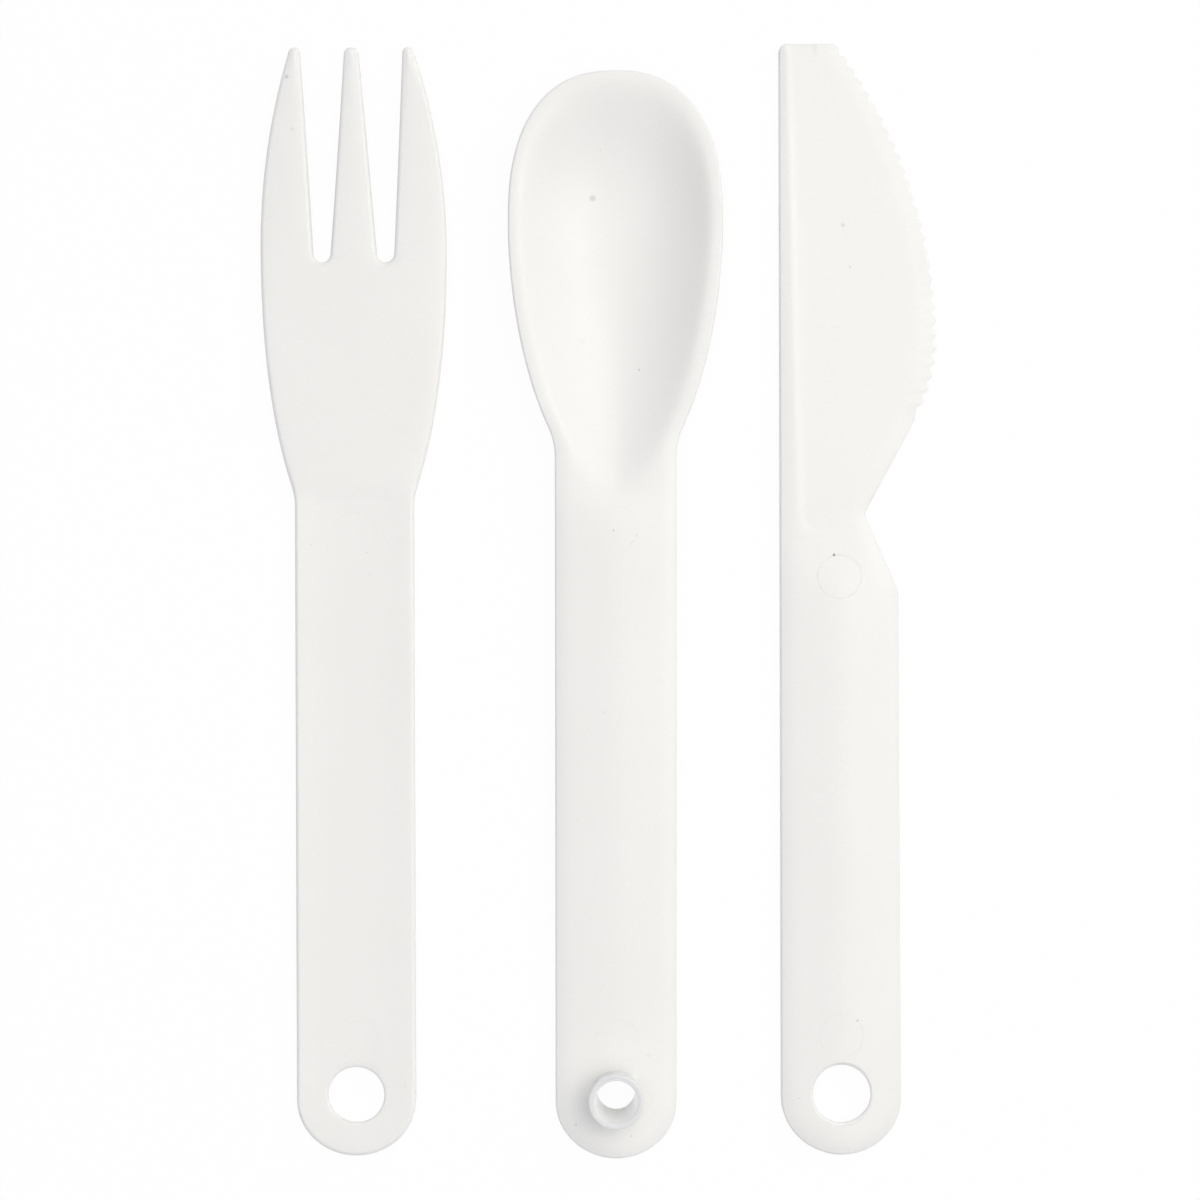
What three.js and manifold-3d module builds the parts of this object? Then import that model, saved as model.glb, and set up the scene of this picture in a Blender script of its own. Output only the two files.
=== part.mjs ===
// Set of three moulded plastic table pieces that lie side by side: a fork, a spoon and a knife.
// Each piece is one moulding. Its outline is drawn flat with the handle's end at y = 0 and its
// axis on x = 0, and a skin is laid over it in loops: from the underside's middle line out round
// the edge and back in over the top, so that crown, dish, bowl and bend all follow from heights.
// The spoon carries a hollow peg, and the other two have a round hole that passes over it.
// Millimetres, +Z up, +X to the right, +Y from the handles to the heads.

import * as THREE from 'three';
import { mergeVertices } from 'three/addons/utils/BufferGeometryUtils.js';
import Module from 'manifold-3d';

const wasm = await Module();
wasm.setup();

// Sizes that the three pieces share
const handleEndHeight = 8.6;
const edgeRound = 0.75;
const holeFromEnd = 9.3;
const markDiameter = 6.6;
const markDepth = 0.12;
const markFromEnd = 18;

// Fork
const forkHandleWidth = 18.1;
const forkHandleLength = 100.4;
const forkEdgeThickness = 2.6;
const forkDish = 0.45;
const forkHoleDiameter = 8.5;
const forkUpperMark = 94.8;
const forkHeadWidth = 28.3;
const forkHeadThickness = 2.45;
const forkShoulderLength = 37.6;
const forkShoulderAngle = 17.5;
const forkTaperLength = 30.6;
const tineLength = 32.5;
const outerTipWidth = 1.7;
const middleTipWidth = 2.2;
const tineTipSpacing = 8.6;
const tineTipThickness = 1.6;
const tineBendLength = 41.5;
const tineBendRadius = 210;
const slotWidth = 2.7;
const slotSpacing = 4.85;

// Spoon
const spoonHandleWidth = 18.4;
const spoonEdgeThickness = 2.5;
const spoonCrown = 0.6;
const spoonUpperMark = 95.6;
const bowlWidth = 32.5;
const bowlNoseLength = 22.7;
const bowlThroatLength = 41;
const bowlFromEnd = 142;
const bowlDepth = 4.6;
const bowlWall = 1.6;
const rimWidth = 2;

// Hollow peg on the spoon
const pegOverhang = 0.6;
const pegHeight = 9;
const pegShaftDiameter = 7.1;
const pegLipDiameter = 8.2;
const pegLipHeight = 0.8;
const pegBoreTop = 6.4;
const pegBoreBottom = 5.74;
const pegFillet = 0.45;

// Knife
const knifeHandleWidth = 18.25;
const knifeShoulderWidth = 18;
const knifeHandleLength = 85.7;
const knifeEdgeThickness = 2.4;
const knifeCrown = 0.8;
const knifeHoleDiameter = 8.75;
const knifeUpperMark = 88;
const neckWidth = 12.85;
const neckFromShoulder = 11.7;
const neckRadius = 1.2;
const heelFromNeck = 14.3;
const bladeWidth = 24;
const bladeBellyFromHeel = 12.3;
const bladePointFromBelly = 45;
const bladeTipWidth = 8.7;
const spineCorner = 1.2;
const bladeSpineThickness = 2.15;
const bladeEdgeThickness = 1.5;
const spineBandAtTip = 0.9;
const spineBandAtNeck = 2.6;
const recessSlope = 0.6;
const recessFromNeck = 3.4;
const recessCorner = 3.4;
const heelArcRadius = 24;
const toothPitch = 2.14;
const toothDepth = 0.72;
const toothRound = 0.15;
const sharpenedWidth = 2.6;
const sharpenedDrop = 0.25;

// How the three lie beside each other, with the slight leans of pieces laid out by hand
const forkToSpoon = 39.5;
const spoonToKnife = 34.3;
const forkEndAhead = 0.2;
const knifeEndAhead = 0.5;
const forkLean = 0.2;
const spoonLean = 0.05;
const knifeLean = 0.13;

// Fineness of round stretches
const roundSteps = 3;
const endSteps = 10;
const holeSteps = 40;
const pegSteps = 36;
const markSteps = 28;

const degrees = Math.PI / 180;
const { lerp } = THREE.MathUtils;
const clamp = (value) => Math.min(1, Math.max(0, value));
const ease = (value) => clamp(value) ** 2 * (3 - 2 * clamp(value));
const at = (x, y) => new THREE.Vector2(x, y);

// Evenly spaced values from one end to the other, both included
function spaced(from, to, pitch) {
  const count = Math.max(1, Math.round(Math.abs(to - from) / pitch));
  return Array.from({ length: count + 1 }, (_, i) => from + ((to - from) * i) / count);
}

// Points on an arc round a centre, from one angle to another, both ends included
function arc(centre, radius, from, to, steps) {
  const angles = Array.from({ length: steps + 1 }, (_, i) => from + ((to - from) * i) / steps);
  return angles.map((angle) => at(centre.x + radius * Math.cos(angle), centre.y + radius * Math.sin(angle)));
}

// Round end of a handle, a little flatter than a half circle, with the point that all of it faces
function handleEnd(halfWidth, from, to, steps) {
  const round = arc(at(0, 0), 1, from, to, steps);
  const points = round.map(({ x, y }) => at(halfWidth * x, handleEndHeight * (1 + y)));
  return stretch(points, () => at(0, handleEndHeight));
}

// Corner of an outline rounded to a radius that touches both of its sides
function roundedCorner(before, corner, after, radius, steps) {
  const inward = before.clone().sub(corner).normalize();
  const outward = after.clone().sub(corner).normalize();
  const halfAngle = Math.acos(inward.dot(outward)) / 2;
  const bisector = inward.clone().add(outward).normalize();
  const centre = bisector.multiplyScalar(radius / Math.sin(halfAngle)).add(corner);
  const first = inward.multiplyScalar(radius / Math.tan(halfAngle)).add(corner).sub(centre);
  const last = outward.multiplyScalar(radius / Math.tan(halfAngle)).add(corner).sub(centre);
  const turn = last.angle() - first.angle();
  const sweep = turn - 2 * Math.PI * Math.round(turn / (2 * Math.PI));
  return arc(centre, radius, first.angle(), first.angle() + sweep, steps);
}

// Line that touches two circles and passes between them, as the angles at which it touches each.
// On side 1 the first circle lies to the left of the line, on side -1 to the right.
function crossTangent(first, firstRadius, second, secondRadius, side) {
  const along = second.clone().sub(first);
  const angle = along.angle() - side * Math.acos((firstRadius + secondRadius) / along.length());
  return side > 0 ? [angle, angle + Math.PI] : [angle, angle - Math.PI];
}

// A stretch of an outline: each point comes with the point of the middle line that it faces
function stretch(points, facing) {
  return points.map((point) => ({ point, middle: facing(point) }));
}

const onAxis = (point) => at(0, point.y);

// Whole outline from its right half, which runs from the handle's end to the head
function mirrored(half) {
  const flip = ({ point, middle }) => ({ point: at(-point.x, point.y), middle: at(-middle.x, middle.y) });
  return [...half, ...half.slice(1, -1).reverse().map(flip)];
}

// Inward direction at each point of an outline that runs anticlockwise, lengthened at corners
function inwardAt(outline) {
  const count = outline.length;
  const side = (i) => {
    const along = outline[(i + 1) % count].point.clone().sub(outline[i % count].point).normalize();
    return at(-along.y, along.x);
  };
  return outline.map((_, i) => {
    const before = side(i + count - 1);
    const after = side(i);
    return before.add(after).divideScalar(1 + before.clone().sub(after).dot(after));
  });
}

// How far out from the middle, as a share, a field turns from negative inside to positive outside
function crossing(middle, edge, field) {
  const value = (share) => {
    const place = middle.clone().lerp(edge, share);
    return field(place.x, place.y);
  };
  if (value(0) >= 0) return 0;
  if (value(1) <= 0) return 1;
  let [inside, outside] = [0, 1];
  for (let i = 0; i < 30; i += 1) {
    const share = (inside + outside) / 2;
    if (value(share) < 0) inside = share;
    else outside = share;
  }
  return (inside + outside) / 2;
}

// Plate between a lower and an upper surface, rounded all round its edge. The stops are the shares
// of the way from the middle line to the edge at which each face carries a loop of its skin.
function plate(outline, { thickness, lower, upper, lowerStops, upperStops, rounding }) {
  const inward = inwardAt(outline);
  const inset = (i, amount) => outline[i].point.clone().addScaledVector(inward[i], amount * rounding(i));
  const loop = (place, share) => outline.map((_, i) => {
    const { x, y } = place(i);
    const bottom = lower(x, y);
    return new THREE.Vector3(x, y, bottom + share(i) * (upper(x, y) - bottom));
  });
  const face = (stops, share) => {
    const rows = outline.map(({ point, middle }, i) => stops(point, middle, inset(i, 1)));
    const place = (k) => (i) => outline[i].middle.clone().lerp(inset(i, 1), rows[i][k]);
    return rows[0].map((_, k) => loop(place(k), () => share));
  };
  const bend = Array.from({ length: roundSteps + 1 }, (_, k) => (k * Math.PI) / (2 * roundSteps));
  const sunk = (angle) => (i) => (rounding(i) / thickness) * (1 - Math.cos(angle));
  const under = bend.map((angle) => loop((i) => inset(i, 1 - Math.sin(angle)), sunk(angle)));
  const over = bend.map((angle) => loop((i) => inset(i, 1 - Math.sin(angle)), (i) => 1 - sunk(angle)(i)));
  return [...face(lowerStops, 0).reverse(), ...under, ...over.reverse(), ...face(upperStops, 1)];
}

// Closed skin through loops of equally many points, each joined to the next
function skin(loops) {
  const count = loops[0].length;
  const index = [];
  for (let k = 0; k + 1 < loops.length; k += 1) {
    for (let i = 0; i < count; i += 1) {
      const here = k * count + i;
      const next = k * count + ((i + 1) % count);
      index.push(here, next, next + count, here, next + count, here + count);
    }
  }
  const geometry = new THREE.BufferGeometry();
  const places = loops.flat().flatMap((point) => point.toArray());
  geometry.setAttribute('position', new THREE.Float32BufferAttribute(places, 3));
  geometry.setIndex(index);
  return solid(geometry);
}

// Closed body of a geometry: points that coincide become one, and flat triangles go
function solid(geometry) {
  geometry.deleteAttribute('normal');
  geometry.deleteAttribute('uv');
  const merged = mergeVertices(geometry, 1e-4);
  const corners = merged.index.array;
  const kept = [];
  for (let i = 0; i < corners.length; i += 3) {
    const [a, b, c] = corners.slice(i, i + 3);
    if (a !== b && b !== c && c !== a) kept.push(a, b, c);
  }
  const vertProperties = new Float32Array(merged.getAttribute('position').array);
  return new wasm.Manifold(new wasm.Mesh({ numProp: 3, vertProperties, triVerts: new Uint32Array(kept) }));
}

// Solid turned round a vertical axis through (0, y) from a profile of (radius, height)
function turned(profile, y, steps) {
  const geometry = new THREE.LatheGeometry(profile.map(([radius, height]) => at(radius, height)), steps);
  geometry.rotateX(Math.PI / 2);
  geometry.translate(0, y, 0);
  return solid(geometry);
}

function drum(diameter, from, to, y, steps) {
  const radius = diameter / 2;
  return turned([[0, from], [radius, from], [radius, to], [0, to]], y, steps);
}

// Faint round mark of an ejector pin: inside it the upper face lies a little lower
function withMarks(body, places) {
  const lowered = body.translate([0, 0, -markDepth]);
  return places.reduce((marked, y) => {
    const pin = drum(markDiameter, 1, 5, y, markSteps);
    return marked.subtract(pin.subtract(lowered));
  }, body);
}

// Low ridge along a handle, soft at its top: 1 on the axis and 0 at the edge
function ridge(x, halfWidth) {
  const softness = 2;
  const rise = (offset) => Math.hypot(offset, softness) - softness;
  return Math.max(0, 1 - rise(x) / rise(halfWidth));
}

function mesh(name, body, colour) {
  const result = body.getMesh();
  const geometry = new THREE.BufferGeometry();
  geometry.setAttribute('position', new THREE.BufferAttribute(new Float32Array(result.vertProperties), 3));
  geometry.setIndex(new THREE.BufferAttribute(new Uint32Array(result.triVerts), 1));
  geometry.computeVertexNormals();
  const material = new THREE.MeshStandardMaterial({ color: colour, roughness: 0.42, metalness: 0 });
  const piece = new THREE.Mesh(geometry, material);
  piece.name = name;
  return piece;
}

// Fork: dished handle, flat head and three tines that bend upwards
function makeFork() {
  const handleHalf = forkHandleWidth / 2;
  const headHalf = forkHeadWidth / 2;
  const outerTipRadius = outerTipWidth / 2;
  const middleTipRadius = middleTipWidth / 2;
  const slotRadius = slotWidth / 2;
  const widestAt = forkHandleLength + forkShoulderLength;
  const length = widestAt + forkTaperLength;
  const bendFrom = length - tineBendLength;
  const neckFrom = forkHandleLength - 1;
  const neckTo = forkHandleLength + 2.6;

  const neck = at(handleHalf, forkHandleLength);
  const slope = at(Math.sin(forkShoulderAngle * degrees), Math.cos(forkShoulderAngle * degrees));
  const neckBlend = neckTo - forkHandleLength;
  const shoulderStart = neck.clone().addScaledVector(slope, neckBlend);
  const neckCurve = new THREE.QuadraticBezierCurve(at(handleHalf, neckFrom), neck, shoulderStart);
  const shoulder = new THREE.CubicBezierCurve(
    shoulderStart,
    shoulderStart.clone().addScaledVector(slope, forkShoulderLength / 4),
    at(headHalf, widestAt - forkShoulderLength * 0.37),
    at(headHalf, widestAt));

  // The outer edge is one arc, upright at the widest place, that touches the outer tine's round tip
  const middleTip = at(0, length - middleTipRadius);
  const outerTip = at(tineTipSpacing, length - outerTipRadius);
  const inset = headHalf - outerTip.x;
  const rise = outerTip.y - widestAt;
  const outerRadius = (inset ** 2 + rise ** 2 - outerTipRadius ** 2) / (2 * (inset - outerTipRadius));
  const outerCentre = at(headHalf - outerRadius, widestAt);
  const outerAngle = Math.atan2(rise, outerTip.x - outerCentre.x);
  const outerEdgeAt = (y) => at(outerCentre.x + Math.sqrt(outerRadius ** 2 - (y - widestAt) ** 2), y);

  // Each slot runs from a round end, and its sides are straight up to the round tips
  const root = length - tineLength;
  const slotEnd = at(slotSpacing, root + slotRadius);
  const [slotOuter, tipInner] = crossTangent(slotEnd, slotRadius, outerTip, outerTipRadius, 1);
  const [slotInner, tipOuter] = crossTangent(slotEnd, slotRadius, middleTip, middleTipRadius, -1);
  const touch = (centre, radius, angle) => arc(centre, radius, angle, angle, 1)[0];
  const sideAt = (from, to) => (y) => at(lerp(from.x, to.x, (y - from.y) / (to.y - from.y)), y);
  const innerSideAt = sideAt(
    touch(slotEnd, slotRadius, slotOuter), touch(outerTip, outerTipRadius, tipInner));
  const middleSideAt = sideAt(
    touch(middleTip, middleTipRadius, tipOuter), touch(slotEnd, slotRadius, slotInner));

  // Middle lines: the axis, and one up each outer tine that leaves the axis below the slots
  const branch = at(0, root - 4);
  const stations = spaced(root + 2 * slotRadius, outerTip.y - 1.5, 4.4);
  const outerRoot = at((headHalf + slotEnd.x + slotRadius) / 2, root + slotRadius);
  const outerMiddleAt = ({ y }) => sideAt(outerRoot, outerTip)(y);
  const turnedBack = (angle) => (angle > 0 ? angle - 2 * Math.PI : angle);
  const slotMiddle = (point) => (point.x > slotEnd.x - 0.01 ? outerRoot : branch);

  const half = [
    ...handleEnd(handleHalf, -Math.PI / 2, 0, endSteps),
    ...stretch(neckCurve.getPoints(4), onAxis),
    ...stretch(shoulder.getPoints(9).slice(1, -1).filter(({ y }) => y < branch.y - 1), onAxis),
    ...stretch([at(headHalf - 0.02, branch.y)], () => branch),
    ...stretch([at(headHalf, widestAt - 1)], () => outerRoot),
    ...stretch(stations.map(outerEdgeAt), outerMiddleAt),
    ...stretch(arc(outerTip, outerTipRadius, outerAngle, tipInner, 8), () => outerTip),
    ...stretch(stations.map(innerSideAt).reverse(), outerMiddleAt),
    ...stretch(arc(slotEnd, slotRadius, turnedBack(slotOuter), turnedBack(slotInner), 8), slotMiddle),
    ...stretch(stations.map(middleSideAt), onAxis),
    ...stretch(arc(middleTip, middleTipRadius, tipOuter, Math.PI / 2, 4), () => middleTip),
  ];

  const dish = (x) => forkDish * (1 - clamp(Math.abs(x) / handleHalf) ** 3);
  const headTop = (y) => lerp(forkHeadThickness, tineTipThickness, clamp((y - bendFrom) / tineBendLength));
  const intoHead = (y) => ease((y - neckFrom) / (neckTo - neckFrom));
  const loops = plate(mirrored(half), {
    thickness: forkEdgeThickness,
    lower: () => 0,
    upper: (x, y) => lerp(forkEdgeThickness - dish(x), headTop(y), intoHead(y)),
    lowerStops: () => [1, 0],
    upperStops: () => [0.85, 0.7, 0.42, 0],
    rounding: () => edgeRound,
  });
  for (const point of loops.flat().filter(({ y }) => y > bendFrom)) {
    const angle = (point.y - bendFrom) / tineBendRadius;
    const arm = tineBendRadius - point.z;
    point.y = bendFrom + arm * Math.sin(angle);
    point.z = tineBendRadius - arm * Math.cos(angle);
  }
  const hole = drum(forkHoleDiameter, -1, forkEdgeThickness + 1, holeFromEnd, holeSteps);
  return withMarks(skin(loops), [markFromEnd, forkUpperMark]).subtract(hole);
}

// Egg-shaped plan of the bowl: its two ends are filled out differently
const noseFullness = 2.42;
const outerThroatFullness = 1.9;
const innerThroatFullness = 1.7;

// How steeply the bowl's wall ends: its floor is flat and its wall rises ever faster to the rim
const bowlSteepness = 2.6;

// Field that is below 1 inside such a plan and 1 on its edge
function egg(x, y, halfWidth, nose, throat) {
  const above = y > bowlFromEnd;
  const fullness = above ? noseFullness : innerThroatFullness;
  const across = (Math.abs(x) / halfWidth) ** fullness;
  const along = (Math.abs(y - bowlFromEnd) / (above ? nose : throat)) ** fullness;
  return (across + along) ** (1 / fullness);
}

// Point on the edge of one end, from 0 at the widest place to a right angle on the axis
function eggPoint(angle, halfWidth, reach, fullness) {
  const across = Math.max(0, Math.cos(angle)) ** (2 / fullness);
  const along = Math.max(0, Math.sin(angle)) ** (2 / fullness);
  return at(halfWidth * across, bowlFromEnd + reach * along);
}

// Spoon: crowned handle, rimmed bowl with a belly that stands below the handle, and the peg
function makeSpoon() {
  const handleHalf = spoonHandleWidth / 2;
  const bowlHalf = bowlWidth / 2;
  const throatPoint = (angle) => eggPoint(angle, bowlHalf, -bowlThroatLength, outerThroatFullness);
  const nosePoint = (angle) => eggPoint(angle, bowlHalf, bowlNoseLength, noseFullness);
  const innerHalf = bowlHalf - rimWidth;
  const innerNose = bowlNoseLength - rimWidth;
  const innerThroat = bowlThroatLength - 0.6;
  const throatEnd = bowlFromEnd - innerThroat;
  const grown = bowlWall / 2;
  const hollow = (x, y) => egg(x, y, innerHalf, innerNose, innerThroat);
  const belly = (x, y) => egg(x, y, innerHalf + grown, innerNose + grown, innerThroat + grown);
  const bellyDrop = bowlDepth + bowlWall - spoonEdgeThickness;

  // The handle runs up to where the bowl is as wide as it is, and a short blend leads over
  const meeting = throatPoint(Math.acos((handleHalf / bowlHalf) ** (outerThroatFullness / 2))).y;
  const blend = 2.5;
  const blendReach = (bowlFromEnd - meeting - blend) / bowlThroatLength;
  const blendEnd = Math.asin(blendReach ** (outerThroatFullness / 2));
  const neck = new THREE.QuadraticBezierCurve(
    at(handleHalf, meeting - blend), at(handleHalf, meeting), throatPoint(blendEnd));
  const crownFades = throatEnd - 6;
  const handleStations = [crownFades, throatEnd - 3, throatEnd, throatEnd + 2.2];
  const noseMiddle = at(0, bowlFromEnd + innerNose - innerHalf);
  const half = [
    ...handleEnd(handleHalf, -Math.PI / 2, 0, endSteps),
    ...stretch(handleStations.map((y) => at(handleHalf, y)), onAxis),
    ...stretch(neck.getPoints(3), onAxis),
    ...stretch(spaced(blendEnd, 0, 0.085).slice(1).map(throatPoint), onAxis),
    ...stretch(spaced(0, Math.PI / 2, 0.065).slice(1).map(nosePoint),
      (point) => (point.y < noseMiddle.y ? onAxis(point) : noseMiddle)),
  ];

  const sinking = (field) => 1 - Math.min(1, field) ** bowlSteepness;
  const underside = (x, y) => -bellyDrop * sinking(belly(x, y));
  const crown = (x, y) => spoonCrown * ridge(x, handleHalf) * (1 - ease((y - crownFades) / 8));
  const loops = plate(mirrored(half), {
    thickness: spoonEdgeThickness,
    lower: underside,
    upper: (x, y) => spoonEdgeThickness + crown(x, y) - bowlDepth * sinking(hollow(x, y)),
    lowerStops: (_, middle, edge) => {
      const brim = crossing(middle, edge, (x, y) => belly(x, y) - 1);
      return [1, 0.9, 0.76, 0.58, 0.34, 0].map((share) => share * brim);
    },
    upperStops: (_, middle, edge) => {
      const brim = crossing(middle, edge, (x, y) => hollow(x, y) - 1);
      const rim = [0.8, 0.56, 0.34, 0.16].map((share) => lerp(brim, 1, share));
      return [...rim, ...[1, 0.9, 0.76, 0.58, 0.34, 0].map((share) => share * brim)];
    },
    rounding: () => edgeRound,
  });

  const pegAt = holeFromEnd + pegOverhang;
  const boreEnd = pegHeight - 0.3;
  const bore = [[0, -1], [pegBoreBottom / 2, -1], [pegBoreBottom / 2, 0], [pegBoreTop / 2, boreEnd],
    [pegBoreTop / 2, pegHeight + 1], [0, pegHeight + 1]];
  const spoon = withMarks(skin(loops), [markFromEnd, spoonUpperMark])
    .add(pegWall(pegAt, spoonEdgeThickness + spoonCrown * ridge(pegShaftDiameter / 2, handleHalf)))
    .subtract(turned(bore, pegAt, pegSteps));

  // At rest it stands on the handle's end and on the point of its belly that the table meets first
  const lean = (y) => Math.atan2(-underside(0, y), y - edgeRound);
  return { spoon, restAngle: Math.max(...spaced(throatEnd, bowlFromEnd, 0.5).map(lean)) };
}

// Peg: a shaft with a fillet at its foot and a rounded lip that is a little wider
function pegWall(y, foot) {
  const shaft = pegShaftDiameter / 2;
  const lip = pegLipDiameter / 2;
  const round = pegLipHeight / 2;
  const lipArc = arc(at(lip - round, pegHeight - round), round, -Math.PI / 4, Math.PI / 2, 5);
  const profile = [
    [0, foot - 1],
    [shaft + pegFillet, foot - 1],
    [shaft + pegFillet, foot],
    [shaft + pegFillet * 0.3, foot + pegFillet * 0.3],
    [shaft, foot + pegFillet],
    [shaft, pegHeight - pegLipHeight - (lip - shaft)],
    ...lipArc.map((point) => point.toArray()),
    [0, pegHeight],
  ];
  return turned(profile, y, pegSteps);
}

// Knife: crowned handle, narrow neck and a thinner blade with a toothed edge
function makeKnife() {
  const half = knifeHandleWidth / 2;
  const neckAt = knifeHandleLength + neckFromShoulder;
  const heelAt = neckAt + heelFromNeck;
  const bellyAt = heelAt + bladeBellyFromHeel;
  const length = bellyAt + bladePointFromBelly;
  const bellyX = bladeWidth - half;
  const tip = at(bladeTipWidth - half, length);

  // Two arcs meet upright at the belly: a wide one up to the tip and a tight one down to the heel
  const inset = bellyX - tip.x;
  const edgeRadius = (inset ** 2 + bladePointFromBelly ** 2) / (2 * inset);
  const edgeCentre = at(bellyX - edgeRadius, bellyAt);
  const edgeLength = edgeRadius * Math.asin(bladePointFromBelly / edgeRadius);
  const heelCentre = at(bellyX - heelArcRadius, bellyAt);
  const heelSweep = Math.asin(bladeBellyFromHeel / heelArcRadius);
  const heelLength = heelArcRadius * heelSweep;
  const edgeAt = (travelled, depth) => {
    if (travelled < heelLength) {
      const angle = travelled / heelArcRadius - heelSweep;
      return arc(heelCentre, heelArcRadius - depth, angle, angle, 1)[0];
    }
    const angle = (travelled - heelLength) / edgeRadius;
    return arc(edgeCentre, edgeRadius - depth, angle, angle, 1)[0];
  };
  const heel = edgeAt(0, 0);

  // Teeth follow each other at a constant pitch, each with a round top between two sharp valleys.
  // Every two teeth face the same point of the middle line.
  const toothShape = [[0, 0], [0.16, 0.62], [0.36, 0.95], [0.62, 0.95], [0.85, 0.6]];
  const toothCount = Math.floor((edgeLength + heelLength) / toothPitch);
  const firstTooth = edgeLength + heelLength - toothCount * toothPitch;
  const acrossMiddle = (point) => at((point.x - half) / 2, point.y);
  const lastMiddle = acrossMiddle(edgeAt(edgeLength + heelLength - 4.5, 0));
  const teeth = [];
  for (let tooth = 0; tooth < toothCount; tooth += 1) {
    const facing = acrossMiddle(edgeAt(firstTooth + (tooth - (tooth % 2)) * toothPitch, 0));
    const middle = facing.y < lastMiddle.y ? facing : lastMiddle;
    for (const [along, height] of toothShape) {
      const point = edgeAt(firstTooth + (tooth + along) * toothPitch, toothDepth * (1 - height));
      teeth.push({ point, middle });
    }
  }

  // Recess of the blade's upper face: it leaves a band along the spine and ends below the neck
  const recessFrom = neckAt - recessFromNeck;
  const bandInner = (y) => {
    const share = clamp((y - neckAt) / (length - neckAt));
    return -half + lerp(spineBandAtNeck, spineBandAtTip, share);
  };
  const intoRecess = (x, y) => {
    const beside = x - bandInner(y);
    const above = y - recessFrom;
    const nearest = Math.min(beside, above);
    if (nearest <= 0 || Math.max(beside, above) >= recessCorner) return nearest;
    return recessCorner - Math.hypot(recessCorner - beside, recessCorner - above);
  };
  const fromEdge = (x, y) => {
    if (y > bellyAt) return edgeRadius - Math.hypot(x - edgeCentre.x, y - bellyAt);
    if (y > heelAt) return heelArcRadius - Math.hypot(x - heelCentre.x, y - bellyAt);
    return (heel.x - x) * Math.cos(heelSweep) - (heel.y - y) * Math.sin(heelSweep);
  };

  const shoulder = at(knifeShoulderWidth - half, knifeHandleLength);
  const neck = at(neckWidth - half, neckAt);
  const recessStations = [0, 0.25, 0.6, 1].map((share) => recessFrom + share * recessCorner);
  const underneck = spaced(knifeHandleLength + 2.2, recessFrom, 3).slice(0, -1);
  const shoulderSide = (y) => at(lerp(shoulder.x, neck.x, (y - knifeHandleLength) / neckFromShoulder), y);
  const belowHeel = spaced(0, 1, 0.25).slice(1, -1).map((share) => neck.clone().lerp(heel, share));
  const right = [
    ...stretch(roundedCorner(at(half, handleEndHeight), shoulder, neck, 4, 3), acrossMiddle),
    ...stretch([...underneck, ...recessStations.slice(0, 3)].map(shoulderSide), acrossMiddle),
    ...stretch(roundedCorner(shoulder, neck, heel, neckRadius, 4), acrossMiddle),
    ...stretch(belowHeel, acrossMiddle),
    ...stretch([heel], acrossMiddle),
    ...teeth,
  ];
  const middles = [...new Set(right.map(({ middle }) => middle))];
  const left = middles.filter(({ y }) => y < lastMiddle.y).reverse();
  const outline = [
    ...handleEnd(half, -Math.PI, 0, 2 * endSteps),
    ...right,
    { point: tip, middle: lastMiddle },
    ...stretch(roundedCorner(tip, at(-half, length), at(-half, 0), spineCorner, 4), () => lastMiddle),
    { point: at(-half, lastMiddle.y), middle: lastMiddle },
    ...left.map((middle) => ({ point: at(-half, middle.y), middle })),
  ];

  const sharpening = (x, y) => clamp(1 - fromEdge(x, y) / sharpenedWidth) * clamp((y - heelAt + 3) / 4);
  const taper = (bladeSpineThickness - bladeEdgeThickness) / (bladeWidth - spineBandAtTip);
  const bladeTop = (x, y) => bladeSpineThickness - taper * (x + half) - sharpenedDrop * sharpening(x, y);
  const crownLeft = (y) => 1 - ease((y - knifeHandleLength + 2) / neckFromShoulder);
  const toothed = ({ point, middle }) => point.y > heelAt && point.x > middle.x;
  const ground = (x, y) => sharpenedWidth - fromEdge(x, y);
  const loops = plate(outline, {
    thickness: knifeEdgeThickness,
    lower: () => 0,
    upper: (x, y) => {
      const handleTop = knifeEdgeThickness + knifeCrown * ridge(x, half) * crownLeft(y);
      return lerp(handleTop, bladeTop(x, y), clamp(intoRecess(x, y) / recessSlope));
    },
    lowerStops: () => [1, 0],
    upperStops: (point, middle, edge) => {
      if (point.y < recessFrom - 0.01) return [0.8, 0.56, 0.34, 0.16, 0];
      if (point.x > middle.x) {
        const inner = point.y < heelAt - 3 ? 0.9 : crossing(middle, edge, ground);
        return [inner, inner, inner / 2, inner / 2, 0];
      }
      const brim = crossing(middle, edge, (x, y) => -intoRecess(x, y));
      const floor = crossing(middle, edge, (x, y) => recessSlope - intoRecess(x, y));
      return [brim, floor, floor / 2, floor / 2, 0];
    },
    rounding: (i) => (toothed(outline[i]) ? toothRound : edgeRound),
  });
  const hole = drum(knifeHoleDiameter, -1, knifeEdgeThickness + 2, holeFromEnd, holeSteps);
  return withMarks(skin(loops), [markFromEnd, knifeUpperMark]).subtract(hole);
}

// The three are laid in a row, each as it rests: fork and knife flat, spoon on its belly and end
const ivory = 0xf1f0ec;
const { spoon: spoonBody, restAngle } = makeSpoon();
const fork = mesh('fork', makeFork(), ivory);
const spoon = mesh('spoon', spoonBody, ivory);
const knife = mesh('knife', makeKnife(), ivory);
fork.position.set(-forkToSpoon, forkEndAhead, 0);
fork.rotation.z = forkLean * degrees;
spoon.rotation.set(restAngle, 0, spoonLean * degrees, 'ZYX');
knife.position.set(spoonToKnife, knifeEndAhead, 0);
knife.rotation.z = knifeLean * degrees;

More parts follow.
